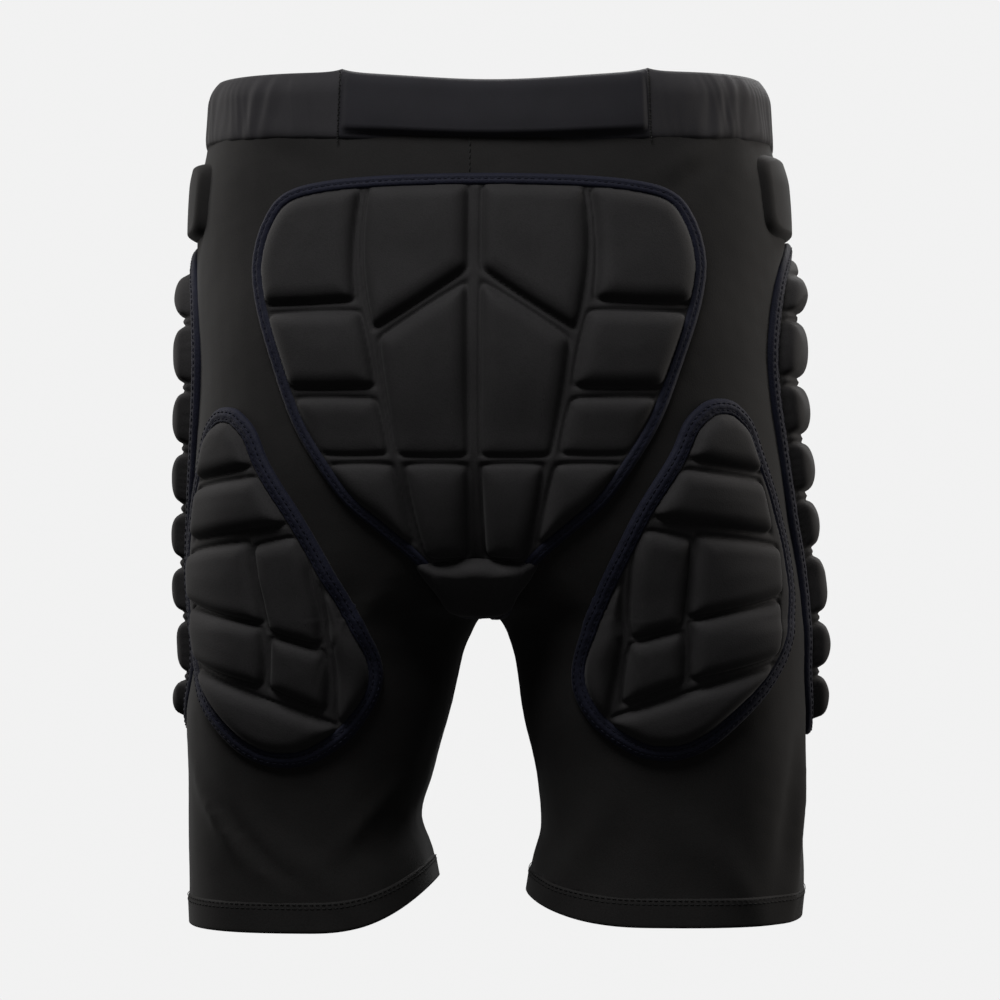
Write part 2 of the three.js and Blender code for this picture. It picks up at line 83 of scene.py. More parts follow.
def plain_material(name, colour, roughness):
    material = bpy.data.materials.new(name)
    material.use_nodes = True
    shader = material.node_tree.nodes["Principled BSDF"]
    shader.inputs["Base Color"].default_value = (*colour, 1.0)
    shader.inputs["Roughness"].default_value = roughness
    return material


floor_ring = [(FLOOR_RADIUS * math.cos(a), FLOOR_RADIUS * math.sin(a), FLOOR)
              for a in np.linspace(0, 2 * math.pi, FLOOR_SIDES + 1)[:-1]]
floor = mesh_piece("studio_floor", floor_ring, [range(FLOOR_SIDES)], smooth=False)
floor.data.materials.append(plain_material("pale_floor", (0.86, 0.86, 0.86), 0.9))
floor.visible_diffuse = False
floor.visible_glossy = False

world = bpy.data.worlds.new("studio")
bpy.context.scene.world = world
world.use_nodes = True
backdrop = world.node_tree.nodes["Background"]
backdrop.inputs["Color"].default_value = (1.0, 1.0, 1.0, 1.0)
backdrop.inputs["Strength"].default_value = BACKDROP_GLOW
room = world.node_tree.nodes.new("ShaderNodeBackground")
room.inputs["Color"].default_value = (1.0, 1.0, 1.0, 1.0)
room.inputs["Strength"].default_value = ROOM_GLOW
seen = world.node_tree.nodes.new("ShaderNodeLightPath")
either = world.node_tree.nodes.new("ShaderNodeMixShader")
world.node_tree.links.new(seen.outputs["Is Camera Ray"], either.inputs[0])
world.node_tree.links.new(room.outputs["Background"], either.inputs[1])
world.node_tree.links.new(backdrop.outputs["Background"], either.inputs[2])
world.node_tree.links.new(either.outputs["Shader"], world.node_tree.nodes["World Output"].inputs["Surface"])
bpy.context.scene.view_settings.view_transform = "Standard"


def soft_light(name, place, target, size, watts, colour=(1.0, 1.0, 1.0)):
    data = bpy.data.lights.new(name, "AREA")
    data.shape = "RECTANGLE"
    data.size, data.size_y = size
    data.energy = watts
    data.color = colour
    light = bpy.data.objects.new(name, data)
    light.location = place
    light.rotation_euler = (Vector(target) - Vector(place)).to_track_quat("-Z", "Y").to_euler()
    bpy.context.scene.collection.objects.link(light)


soft_light("top_light", (-0.55, -1.3, 2.0), (0.0, -0.05, -0.2), (1.5, 0.9), 122.0)
soft_light("low_light", (0.4, -1.45, -0.4), (0.0, 0.0, -0.4), (0.9, 0.7), 1.8)
soft_light("front_light", (0.5, 1.6, 1.3), (0.0, 0.05, -0.25), (1.2, 0.8), 60.0)
soft_light("left_light", (-1.25, 0.5, 0.35), (-0.1, 0.0, -0.2), (0.5, 1.2), 17.0, (1.0, 0.97, 0.94))
soft_light("right_light", (1.25, 0.4, 0.3), (0.1, 0.0, -0.25), (0.5, 1.2), 24.0, (1.0, 0.95, 0.90))

# Shorts of stretch fabric
# The body of the shorts is matt black jersey of polyester and elastane, cut in halves and joined by the
# centre seam. It hangs from the elastic waistband, which is sewn to its top edge. Each side is a tube that
# widens from the leg into the whole seat and waist.
RISE, INSEAM = 0.301, 0.173
HALF_WIDTH, SEAT_DEPTH, BELLY_DEPTH = 0.169, 0.128, 0.108
LEG_UNEVEN = 0.004  # the right leg stands this much wider on each side, the left leg narrower
HEM_LIFT = {1: 0.014, -1: 0.023}  # right, left: how much higher the hem runs at the inner side of the leg
LEG_SHORTER = {1: 0.0045, -1: 0.0}
LEG_SQUARER = 0.7  # the inner sides of the legs are squarer than an ellipse
HEM_HEIGHT, HEM_PROUD = 0.016, 0.0009
FOLD_RISE = 0.004
WALL = 0.0025
BAND_HEIGHT = 0.041
BOTTOM = RISE + INSEAM
# Each list has one value per section. down: 0 at the waist, 1 at the crotch, 2 at the hem. outer, back, front,
# crest and inner are shares of the half sizes above, and in square 2 is an ellipse. The lists in mm say how
# far the sides of the worn shorts lie off an even shape.
SECTIONS = {
    "down": (0, .125, .20, .33, .52, .69, .815, .88, .93, .965, 1, 1.05, 1.15, 1.33, 1.56, 1.74, 1.875, 2),
    "outer": (.94, .953, .985, 1, 1, 1.005, 1.012, 1.018, 1.022, 1.022, 1.022, 1.022, 1.025, 1.035, 1.037,
              1.037, 1.037, 1.03),
    "back": (.805, .845, .885, .94, 1, .992, .922, .875, .836, .81, .79, .78, .75, .703, .656, .633, .625, .625),
    "front": (.907, .93, .95, .98, 1, .98, .954, .935, .917, .90, .88, .87, .85, .815, .787, .76, .74, .74),
    "crest": (0, 0, 0, .01, .04, .10, .20, .25, .325, .38, .43, .45, .50, .55, .59, .60, .59, .58),
    "inner": (-.10, -.10, -.15, -.40, -.70, -.70, -.60, -.44, -.27, -.15, .030, .070, .11, .136, .182, .197,
              .167, .15),
    "square": (2.6, 2.6, 2.5, 2.5, 2.5, 2.5, 2.6, 2.6, 2.6, 2.6, 2.6, 2.7, 2.7, 2.7, 2.7, 2.7, 2.7, 2.7),
    "right_outer_mm": (-2, -1.5, -1, -2, -2.5, 0, 1.5, 3, 3.5, 4, 4, 3.5, 1.5, -.5, -1.5, -2, -1.5, -2),
    "left_outer_mm": (-.5, -.5, -1, -2.5, -2.8, -2.8, -2.8, -2.8, -2.5, -2.5, -2.5, -2.5, -2.5, 1, 0, 0, -.5, 0),
    "left_inner_mm": (0, 0, 0, 0, 0, 0, 0, 0, 0, 0, -1.5, -4, -5, -3, -1, 4, 2.5, 2),
}
FOLDS = (  # side, turn, down, lean, width, length, share of FOLD_RISE
    (-1, .16, 1.66, .08, .015, .22, 1.0), (-1, .198, 1.70, .08, .013, .20, -.7),
    (-1, .25, 1.80, .06, .018, .20, .6), (-1, .33, 1.66, -.06, .016, .14, .6),
    (1, .05, 1.62, .03, .016, .36, 1.0), (1, .09, 1.66, .03, .016, .30, -.6),
    (1, .225, .88, .02, .013, .13, .50), (1, .26, .93, .02, .013, .12, .45),
    (-1, .225, .92, .02, .013, .13, .50), (-1, .265, .97, .02, .013, .12, .45),
    (1, .118, .175, .030, .010, .055, -.60), (1, .140, .165, .030, .012, .055, .45),
    (1, .094, .160, .030, .010, .050, .40), (-1, .150, .155, .020, .012, .040, -.40),
    (1, .20, 1.80, -.06, .026, .22, .5), (1, .34, 1.76, .05, .028, .24, .6),
    (1, .72, 1.70, .05, .030, .30, .6), (-1, .72, 1.70, -.05, .030, .30, .6),
)


def smooth_through(keys, values, at):
    """Values between table rows, on a smooth curve that doesn't overshoot."""
    keys, values, at = np.asarray(keys, float), np.asarray(values, float), np.asarray(at, float)
    secant = np.diff(values) / np.diff(keys)
    before, after = secant[:-1], secant[1:]
    product = before * after
    middle = np.where(product > 0, 2 * product / np.where(before + after == 0, 1, before + after), 0)
    slope = np.concatenate([secant[:1], middle, secant[-1:]])
    at = np.clip(at, keys[0], keys[-1])
    i = np.clip(np.searchsorted(keys, at, side="right") - 1, 0, len(keys) - 2)
    width = keys[i + 1] - keys[i]
    t = (at - keys[i]) / width
    ease = t * t * (3 - 2 * t)
    bend = width * t * (1 - t) * ((1 - t) * slope[i] - t * slope[i + 1])
    return values[i] * (1 - ease) + values[i + 1] * ease + bend


FINE_DOWN = np.linspace(0, 2, 1201)
FINE = {name: smooth_through(SECTIONS["down"], SECTIONS[name], FINE_DOWN) for name in SECTIONS}


def ease_between(low, high, value):
    t = np.clip((value - low) / (high - low), 0, 1)
    return t * t * (3 - 2 * t)


def section_at(side, depth, grow=0.0):
    """Half sizes of one side's section, arrays allowed."""
    depth = np.asarray(depth, float)
    down = np.where(depth <= RISE, depth / RISE, 1 + (depth - RISE) / INSEAM)
    size = {name: np.interp(down, FINE_DOWN, FINE[name]) for name in FINE}
    parting = ease_between(0.85, 1.15, down) * side * LEG_UNEVEN
    right = np.asarray(side) > 0
    outer_lean = np.where(right, size["right_outer_mm"], size["left_outer_mm"]) / 1000
    inner_lean = np.where(right, 0, size["left_inner_mm"]) / 1000
    return {
        "side": side, "depth": depth, "down": down, "crest": size["crest"] * HALF_WIDTH,
        "outer": size["outer"] * HALF_WIDTH + parting + outer_lean + grow,
        "inner": size["inner"] * HALF_WIDTH - parting + inner_lean - grow,
        "back": size["back"] * SEAT_DEPTH + grow, "front": size["front"] * BELLY_DEPTH + grow,
        "square": size["square"], "inner_square": 2 + LEG_SQUARER * ease_between(1.0, 1.3, down),
    }


def section_point(section, turn):
    """Points of a section: turn runs from the outer side, over the back and inner side, to the front."""
    side, down = section["side"], section["down"]
    turn = np.asarray(turn, float)
    c, s = np.cos(turn * 2 * math.pi), np.sin(turn * 2 * math.pi)
    power = 2 / np.where(c >= 0, section["square"], section["inner_square"])
    reach = np.where(c >= 0, section["outer"] - section["crest"], section["crest"] - section["inner"])
    depth = np.where(s >= 0, section["back"], section["front"])
    fold = 0
    for fold_side, at, middle, lean, width, length, rise in FOLDS:
        along = (down - middle) / length
        across = (np.mod(turn, 1) - at - lean * along) / width
        fold = fold + (side == fold_side) * rise * FOLD_RISE * np.exp(-across ** 2 - 2 * along ** 2)
    x = section["crest"] + np.sign(c) * np.abs(c) ** power * (reach + fold)
    y = -np.sign(s) * np.abs(s) ** power * (depth + fold)
    right = np.asarray(side) > 0
    below = np.maximum(0, down - 1)
    lift = np.where(right, HEM_LIFT[1], HEM_LIFT[-1]) * (below * np.maximum(0, -c)) ** 2
    lift = lift + np.where(right, LEG_SHORTER[1], LEG_SHORTER[-1]) * below ** 2
    return np.stack(np.broadcast_arrays(side * x, y, lift - section["depth"]), axis=-1)


def tube_mesh(side, top, bottom, rows, around):
    """One side of the shorts as a closed tube."""
    depth = np.linspace(top, bottom, rows)[:, None]
    turn = (np.arange(around) / around)[None, :]
    points = section_point(section_at(side, depth), turn).reshape(-1, 3)
    faces = []
    for i in range(rows - 1):
        for j in range(around):
            k = (j + 1) % around
            faces.append((i * around + j, i * around + k, (i + 1) * around + k, (i + 1) * around + j))
    faces.append(range(around))
    faces.append([(rows - 1) * around + j for j in range(around)])
    return points, faces


def join_parts(name, parts):
    points, faces, start = [], [], 0
    for part_points, part_faces in parts:
        points.append(np.asarray(part_points, float).reshape(-1, 3))
        faces.extend([tuple(int(i) + start for i in face) for face in part_faces])
        start += len(points[-1])
    return mesh_piece(name, np.concatenate(points), faces)


def apply_modifiers(piece):
    bpy.context.view_layer.update()
    graph = bpy.context.evaluated_depsgraph_get()
    mesh = bpy.data.meshes.new_from_object(piece.evaluated_get(graph))
    piece.modifiers.clear()
    piece.data = mesh


def face_outwards(piece):
    bm = bmesh.new()
    bm.from_mesh(piece.data)
    bmesh.ops.recalc_face_normals(bm, faces=bm.faces)
    bm.to_mesh(piece.data)
    bm.free()


def vertex_array(mesh):
    points = np.empty(len(mesh.vertices) * 3)
    mesh.vertices.foreach_get("co", points)
    return points.reshape(-1, 3)


def soft_noise(points, size, seed):
    """Smooth random values between about -1 and 1, with lumps of the given size."""
    chance = np.random.default_rng(seed)
    total = np.zeros(len(points))
    for _ in range(9):
        way = chance.normal(size=3)
        way /= np.linalg.norm(way)
        wave = 2 * math.pi / (size * chance.uniform(0.8, 1.5))
        total += np.sin(points @ way * wave + chance.uniform(0, 2 * math.pi))
    return total / 4.5


UNDER_BAND = 0.012  # the cloth reaches this far up behind the waistband
SHORTS_TOP = BAND_HEIGHT - UNDER_BAND
ABOVE_TOP = 0.01  # the tubes are closed this far above the cloth's top
ABOVE_HEM = 0.006  # the cloth ends this far above the hem's edge, and the tubes as far below it
LEG_MIDDLE, LEG_HALF = 0.10, 0.07  # the end of the cloth rises with the hem from the middle of the leg inwards
TUBE_ROWS, TUBE_AROUND = 150, 140
SHORTS_VOXEL = 0.0035
SMOOTHING = 6
RUMPLE_HEIGHT, RUMPLE_SIZE = 0.0005, 0.05
CREASE_HEIGHT, CREASE_SIZE = 0.0001, 0.014

tubes = [tube_mesh(side, SHORTS_TOP - ABOVE_TOP, BOTTOM + ABOVE_HEM, TUBE_ROWS, TUBE_AROUND) for side in (1, -1)]
shorts = join_parts("shorts", tubes)
face_outwards(shorts)
remesh = shorts.modifiers.new("remesh", "REMESH")
remesh.mode = "VOXEL"
remesh.voxel_size = SHORTS_VOXEL
smooth = shorts.modifiers.new("smooth", "SMOOTH")
smooth.factor = 0.5
smooth.iterations = SMOOTHING
apply_modifiers(shorts)


def open_ends(piece):
    """Take away the closed ends, at the band and inside the hems."""
    bm = bmesh.new()
    bm.from_mesh(piece.data)
    bm.verts.ensure_lookup_table()
    gone = []
    for v in bm.verts:
        side = 1 if v.co.x > 0 else -1
        leg = max(0.0, (LEG_MIDDLE - abs(v.co.x)) / LEG_HALF)
        low = -BOTTOM + ABOVE_HEM + HEM_LIFT[side] * min(1.0, leg) ** 2 + LEG_SHORTER[side]
        if v.co.z > -SHORTS_TOP or v.co.z < low:
            gone.append(v)
    bmesh.ops.delete(bm, geom=gone, context="VERTS")
    bm.to_mesh(piece.data)
    bm.free()


open_ends(shorts)
places = vertex_array(shorts.data)
normals = np.empty(len(shorts.data.vertices) * 3)
shorts.data.vertices.foreach_get("normal", normals)
normals = normals.reshape(-1, 3)
rumple = RUMPLE_HEIGHT * soft_noise(places, RUMPLE_SIZE, 3)
rumple = rumple + CREASE_HEIGHT * soft_noise(places * (1, 1, 2.2), CREASE_SIZE, 5)
shorts.data.vertices.foreach_set("co", (places + normals * rumple[:, None]).ravel())
solid = shorts.modifiers.new("cloth_wall", "SOLIDIFY")
solid.thickness = WALL
solid.offset = -1
apply_modifiers(shorts)
shorts.data.polygons.foreach_set("use_smooth", [True] * len(shorts.data.polygons))


MOTTLE = 0.12


def fabric(name, colour, roughness, sheen, grain, bump):
    """Matt cloth: fine knit grain in bump and colour, with faint larger clouds."""
    material = bpy.data.materials.new(name)
    material.use_nodes = True
    nodes, links = material.node_tree.nodes, material.node_tree.links
    shader = nodes["Principled BSDF"]
    shader.inputs["Roughness"].default_value = roughness
    shader.inputs["Specular IOR Level"].default_value = 0.09
    shader.inputs["Sheen Weight"].default_value = sheen
    shader.inputs["Sheen Roughness"].default_value = 0.4
    place = nodes.new("ShaderNodeTexCoord")
    knit = nodes.new("ShaderNodeTexVoronoi")
    knit.inputs["Scale"].default_value = 1 / grain
    cloud = nodes.new("ShaderNodeTexNoise")
    cloud.inputs["Scale"].default_value = 45.0
    cloud.inputs["Detail"].default_value = 5.0
    links.new(place.outputs["Object"], knit.inputs["Vector"])
    links.new(place.outputs["Object"], cloud.inputs["Vector"])
    dark = nodes.new("ShaderNodeMix")
    dark.data_type = "RGBA"
    dark.inputs["A"].default_value = (*[c * (1 - MOTTLE * 2) for c in colour], 1)
    dark.inputs["B"].default_value = (*[c * (1 + MOTTLE * 2) for c in colour], 1)
    links.new(cloud.outputs["Fac"], dark.inputs["Factor"])
    thread = nodes.new("ShaderNodeMix")
    thread.data_type = "RGBA"
    thread.blend_type = "MULTIPLY"
    thread.inputs["Factor"].default_value = 0.5
    ramp = nodes.new("ShaderNodeValToRGB")
    ramp.color_ramp.elements[0].position = 0.05
    ramp.color_ramp.elements[0].color = (1.25, 1.25, 1.25, 1)
    ramp.color_ramp.elements[1].position = 0.75
    ramp.color_ramp.elements[1].color = (0.6, 0.6, 0.6, 1)
    links.new(knit.outputs["Distance"], ramp.inputs["Fac"])
    links.new(dark.outputs["Result"], thread.inputs["A"])
    links.new(ramp.outputs["Color"], thread.inputs["B"])
    links.new(thread.outputs["Result"], shader.inputs["Base Color"])
    relief = nodes.new("ShaderNodeBump")
    relief.inputs["Strength"].default_value = bump
    relief.inputs["Distance"].default_value = grain * 0.5
    relief.invert = True
    links.new(knit.outputs["Distance"], relief.inputs["Height"])
    links.new(relief.outputs["Normal"], shader.inputs["Normal"])
    return material


SHELL_COLOUR = (0.0064, 0.0060, 0.0059)
jersey = fabric("black_jersey", SHELL_COLOUR, 0.85, 0.03, grain=0.0008, bump=0.12)
shorts.data.materials.clear()
shorts.data.materials.append(jersey)
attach(shorts, "root")
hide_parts("body_left", "body_right")

# Turned-up hems
# Each leg ends in a hem of the same jersey, folded up inside by 16 mm and held by twin rows of black
# stitching, so that the cloth is double there and stands a little proud.
HEM_ROWS = 14
HEM_AROUND = 300
HEM_STITCHES = (0.0126, 0.0150)
HEM_STITCH = (0.0026, 0.0007, 0.00022)  # length, gap, radius
HEM_PUCKER, HEM_PUCKERS = 0.00022, 150
FIFTHS = (0, 1.2566, 2.5133, 3.7699, 5.0265)  # of a turn, round a stitch


def hem_mesh(side):
    profile = []
    for i in range(HEM_ROWS):
        share = i / (HEM_ROWS - 1)
        profile.append((HEM_HEIGHT * (1 - share), HEM_PROUD * min(1.0, share * 8)))
    for angle in np.linspace(0, math.pi, 7)[1:-1]:
        middle = (HEM_PROUD - WALL) / 2
        profile.append((-0.0012 * math.sin(angle), middle + (HEM_PROUD - middle) * math.cos(angle)))
    profile.append((0.0, -WALL))
    profile.append((HEM_HEIGHT, -WALL - 0.0008))
    turn = (np.arange(HEM_AROUND) / HEM_AROUND)[None, :]
    height, grow = np.array(profile).T
    pucker = HEM_PUCKER * np.sin(turn * 2 * math.pi * HEM_PUCKERS) * (1 - np.abs(height[:, None] / HEM_HEIGHT))
    points = section_point(section_at(side, BOTTOM - height[:, None], grow[:, None] + pucker), turn)
    count = len(profile)
    faces = []
    for i in range(count):
        for j in range(HEM_AROUND):
            k, n = (j + 1) % HEM_AROUND, (i + 1) % count
            faces.append((i * HEM_AROUND + j, i * HEM_AROUND + k, n * HEM_AROUND + k, n * HEM_AROUND + j))
    return points.reshape(-1, 3), faces


def stitch_mesh(path, normals, length, gap, radius):
    """A row of short stitches along a path, pressed into the cloth."""
    run = np.concatenate([[0], np.cumsum(np.linalg.norm(np.diff(path, axis=0), axis=1))])
    count = max(3, round(run[-1] / (length + gap)))
    steps = (0.0, 0.25, 0.75, 1.0)
    widths = (0.35, 1.0, 1.0, 0.35)
    points, faces = [], []
    for s in range(count):
        start = run[-1] * s / count
        at = [start + length * t for t in steps]
        middle = np.stack([np.interp(at, run, path[:, k]) for k in range(3)], axis=1)
        up = np.stack([np.interp(at, run, normals[:, k]) for k in range(3)], axis=1)
        ahead = middle[-1] - middle[0]
        ahead /= max(np.linalg.norm(ahead), 1e-9)
        sideways = np.cross(up, ahead)
        base = len(points)
        for i, w in enumerate(widths):
            sink = -radius * 0.5 * (1 - w)
            for angle in FIFTHS:
                points.append(middle[i] + up[i] * (sink + radius * w * math.sin(angle))
                              + sideways[i] * radius * w * 1.25 * math.cos(angle))
        for i in range(3):
            for j in range(5):
                k = (j + 1) % 5
                faces.append((base + i * 5 + j, base + i * 5 + k, base + i * 5 + 5 + k, base + i * 5 + 5 + j))
        faces.append([base + j for j in range(5)])
        faces.append([base + 15 + j for j in range(5)])
    return np.array(points), faces


black_thread = fabric("black_thread", (0.006, 0.006, 0.006), 0.8, 0.0, grain=0.0004, bump=0.2)
with_shorts = []
for side, end in ((1, "right"), (-1, "left")):
    hem = join_parts(f"hem_{end}", [hem_mesh(side)])
    face_outwards(hem)
    hem.data.materials.append(jersey)
    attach(hem, "root")
    rows = []
    for height in HEM_STITCHES:
        turn = np.linspace(0, 1, 400)
        line = section_point(section_at(side, BOTTOM - height, HEM_PROUD + 0.0001), turn)
        out = section_point(section_at(side, BOTTOM - height, HEM_PROUD + 0.002), turn) - line
        rows.append(stitch_mesh(line, out / np.linalg.norm(out, axis=1, keepdims=True), *HEM_STITCH))
    stitches = join_parts(f"hem_{end}_stitches", rows)
    face_outwards(stitches)
    stitches.data.materials.append(black_thread)
    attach(stitches, "root")
    with_shorts += [hem, stitches]

# Waistband
# A 41 mm elastic, covered in a finer cloth and gathered into upright ribs round the sides and the front.
# At the back it is a smooth padded panel between two upright zigzag seams.
BAND_WALL, BAND_PROUD, PANEL_PROUD = 0.004, 0.0012, 0.003
PANEL_LEFT, PANEL_RIGHT = 0.075, 0.092
RIM_SAG = {"all": 0.0008, "middle": 0.0063, "at": 0.010, "spread": 0.070}
FOOT_SAG = {"all": -0.0035, "middle": 0.0068, "at": 0.015, "spread": 0.100}
SEAM_PULL, SEAM_SPREAD = 0.0022, 0.006  # the rim is held up at the panel's seams
PANEL_CROWN, PANEL_OVERHANG, PANEL_TUCK = 0.0010, 0.0010, 0.0046
RIB_RISE, GATHER_RISE, RIM_LEAN = 0.00009, 0.00036, 0.0045
BAND_SLIT = 0.0003  # clearance between the panel and the elastic
ZIGZAG_STITCH = (0.0014, 0.0003, 0.00034)  # length, gap, radius
ZIGZAG_STEPS = 27
BAND_COLOUR = (0.0122, 0.0116, 0.0130)
# The back panel takes a darker copy of the band's cloth. This is painted shade, so the panel looks darker than the
# lit sides of the band.
PANEL_SHADED_COLOUR = (0.0082, 0.0079, 0.0098)


def band_point(turn, depth, grow):
    turn = np.mod(turn, 1)
    right = np.cos(turn * 2 * math.pi) >= 0
    a = section_point(section_at(1, depth, grow), turn)
    b = section_point(section_at(-1, depth, grow), 0.5 - turn)
    return np.where(right[..., None], a, b)


def sag(size, x):
    """How far an edge of the band dips at the back."""
    return size["all"] + size["middle"] * np.exp(-((x - size["at"]) / size["spread"]) ** 2)


def band_turn(x):
    section = section_at(math.copysign(1, x), 0.0)
    return math.acos(math.copysign((abs(x) / section["outer"]) ** (section["square"] / 2), x)) / (2 * math.pi)


def band_mesh(start, end, steps, surface):
    """Strip of the band: surface gives how far it stands out at a turn and a height share."""
    turn = np.linspace(start, end, steps)[None, :]
    shares = np.linspace(0, 1, 25)
    rim = np.sqrt(np.clip(1 - (2 * shares - 1) ** 8, 0, 1))[:, None]
    share = shares[:, None]
    out = surface(turn, share)
    grow = -BAND_WALL + (out + BAND_WALL) * (0.25 + 0.75 * rim)
    outer = band_point(turn + 0 * share, share * BAND_HEIGHT + 0 * turn, grow)
    inner = band_point(turn + 0 * share, share * BAND_HEIGHT + 0 * turn, -BAND_WALL + 0 * grow)
    for ring in (outer, inner):
        x, behind = ring[..., 0], ease_between(0, 0.03, -ring[..., 1])
        rim_sag = sag(RIM_SAG, x)
        for seam in (-PANEL_LEFT, PANEL_RIGHT):
            rim_sag -= SEAM_PULL * np.exp(-np.abs(x - seam) / SEAM_SPREAD)
        ring[..., 2] -= behind * (rim_sag * (1 - share) + sag(FOOT_SAG, x) * share)
    rings = np.concatenate([outer, inner[::-1]])
    rows, columns = rings.shape[:2]
    points = rings.reshape(-1, 3)
    faces = []
    for i in range(rows):
        for j in range(columns - 1):
            n = (i + 1) % rows
            faces.append((i * columns + j, i * columns + j + 1, n * columns + j + 1, n * columns + j))
    faces.append([i * columns for i in range(rows)])
    faces.append([i * columns + columns - 1 for i in range(rows)])
    return points, faces


right_seam, left_seam = band_turn(PANEL_RIGHT), band_turn(-PANEL_LEFT)


def panel_surface(turn, share):
    across = np.clip((turn - right_seam) / (left_seam - right_seam), 0, 1)
    edge = ease_between(0, 0.05, across) * ease_between(0, 0.05, 1 - across)
    crown = PANEL_CROWN * np.sin(math.pi * share) ** 0.6
    overhang = PANEL_OVERHANG * ease_between(0.2, 0.7, share) * np.sin(math.pi * across) ** 0.35
    tuck = PANEL_TUCK * ease_between(0.80, 0.88, share) * np.sin(math.pi * across) ** 0.35
    return BAND_PROUD + (PANEL_PROUD - BAND_PROUD) * edge + (crown + overhang - tuck) * edge


def gathered_surface(turn, share):
    ribs = np.sin(turn * 2 * math.pi * 96 + 2.6 * np.sin(turn * 2 * math.pi * 17 + 3 * share))
    folds = np.sin(turn * 2 * math.pi * 37 + 2.4 * np.sin(turn * 2 * math.pi * 11 - 1.3 * share))
    near = np.minimum(np.abs(turn - left_seam), np.abs(turn - right_seam - 1))
    calm = ease_between(0.0, 0.012, near) * (0.35 + 0.65 * np.sin(math.pi * share) ** 0.5)
    lean = RIM_LEAN * np.clip(1 - share / 0.35, 0, 1) ** 2
    return BAND_PROUD + (RIB_RISE * ribs + GATHER_RISE * folds) * calm - lean


band_cloth = fabric("band_cloth", BAND_COLOUR, 0.8, 0.03, grain=0.0005, bump=0.2)
# The panel's cloth is that darker copy of the band's cloth, with painted shade in its colour.
shaded_band_cloth = fabric("shaded_band_cloth", PANEL_SHADED_COLOUR, 0.8, 0.03, grain=0.0005, bump=0.15)
slit = BAND_SLIT / (2 * math.pi * HALF_WIDTH) / 2
panel = join_parts("waistband_panel", [band_mesh(right_seam + slit, left_seam - slit, 160, panel_surface)])
elastic = join_parts("waistband_gathers", [band_mesh(left_seam + slit, right_seam + 1 - slit, 900, gathered_surface)])
for piece, node, cloth in ((panel, "waistband_back_panel", shaded_band_cloth), (elastic, "waistband_elastic", band_cloth)):
    face_outwards(piece)
    piece.data.materials.append(cloth)
    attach(piece, "root")
    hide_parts(node)

band_seams = []
for seam, lean in ((right_seam, 0.0009), (left_seam, -0.0009)):
    share = np.linspace(0.03, 0.97, ZIGZAG_STEPS)
    turn = seam + lean * (np.arange(ZIGZAG_STEPS) % 2)
    line = band_point(turn, share * BAND_HEIGHT, np.full(ZIGZAG_STEPS, BAND_PROUD + 0.0006))
    line[:, 2] += 0.0014 * (1 - share) - 0.0018
    out = line * (1, 1, 0)
    out /= np.linalg.norm(out, axis=1, keepdims=True)
    band_seams.append(stitch_mesh(line, out, *ZIGZAG_STITCH))
zigzag = join_parts("waistband_zigzag", band_seams)
face_outwards(zigzag)
zigzag.data.materials.append(black_thread)
zigzag.parent = elastic
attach(zigzag, "root")

# Seat pad
# A shield-shaped pad of pressed foam cells under matt cloth, sewn over the seat, with a tongue that runs
# under the crotch. Each cell has sharp corners at its foot, soft shoulders and a crowned top, and the
# cloth lies flat in the channels between cells.
BINDING_WIDTH = 0.0065
SLAB = 0.003
SEAT_PAD = {"top": 0.063, "height": 0.237, "half": 0.123, "cell": 0.0100, "shoulder": 0.009}
SEAT_BEND = {"down": 0.61, "spread": 0.024, "thinner": 0.40}
CELL_BOW = 0.0006  # how far the sides of a cell bulge
CELL_BLEND = 0.0011  # rounding of its corners
TAPE_NEAR = 0.0065  # a side of a cell this near the binding follows it
FOOT_DEPTH, CHANNEL_RISE = 0.0012, 0.0004  # the cloth is drawn in at a cell's foot and swells between cells
PAD_RUMPLE, PAD_RUMPLE_SIZE = 0.00018, 0.022
UNDER_TAPE = 0.0016  # the skin of a pad reaches this far under its binding
SKIN = 0.0012
SKIN_PITCH = 0.00105
SEAT_OUTLINE = (  # down, half width
    (0, .67), (.03, .87), (.09, .955), (.18, 1), (.27, .985), (.42, .90), (.56, .80), (.66, .685), (.74, .57),
    (.80, .435), (.86, .30), (.90, .23), (.96, .16), (1, .11),
)
SEAT_CELLS = (  # corners across and down: inner top, outer top, outer low, inner low; bows outer, inner
    (.035, .030, .47, .035, .435, .34, .035, .205, .0040, 0), (.51, .036, .93, .045, .97, .28, .525, .275, 0, -.0020),
    (.50, .305, .96, .308, .86, .47, .435, .47, 0, .0008), (.43, .503, .82, .50, .71, .622, .38, .622, 0, .0008),
    (.035, .24, .41, .365, .327, .625, .035, .625, .0010, 0), (.035, .65, .30, .65, .22, .858, .05, .85, .0008, 0),
    (.36, .65, .67, .652, .42, .80, .27, .85, 0, .0008),
)
TONGUE = ((-.272, .872), (-.10, .870), (0, .865), (.10, .869), (.272, .870), (.245, .905), (.18, .945),
          (.135, .975), (0, .985), (-.135, .975), (-.18, .945), (-.245, .905))
TONGUE_HEIGHT = 0.0095
TONGUE_BRIDGE = 0.024  # to either side of the middle, where the tongue bridges the hollow between the legs


def turn_behind(section, across):
    """The turn at which a section's back lies a given way across."""
    x = np.abs(across) - section["crest"]
    share = np.where(
        x >= 0, (np.maximum(x, 0) / (section["outer"] - section["crest"])) ** (section["square"] / 2),
        -(np.maximum(-x, 0) / (section["crest"] - section["inner"])) ** (section["inner_square"] / 2),
    )
    return np.arccos(np.clip(share, -1, 1)) / (2 * math.pi)


def on_back(across, depth):
    """Points of the back of the shorts, straight behind a place."""
    section = section_at(np.where(across < 0, -1, 1), depth)
    return section_point(section, turn_behind(section, across))


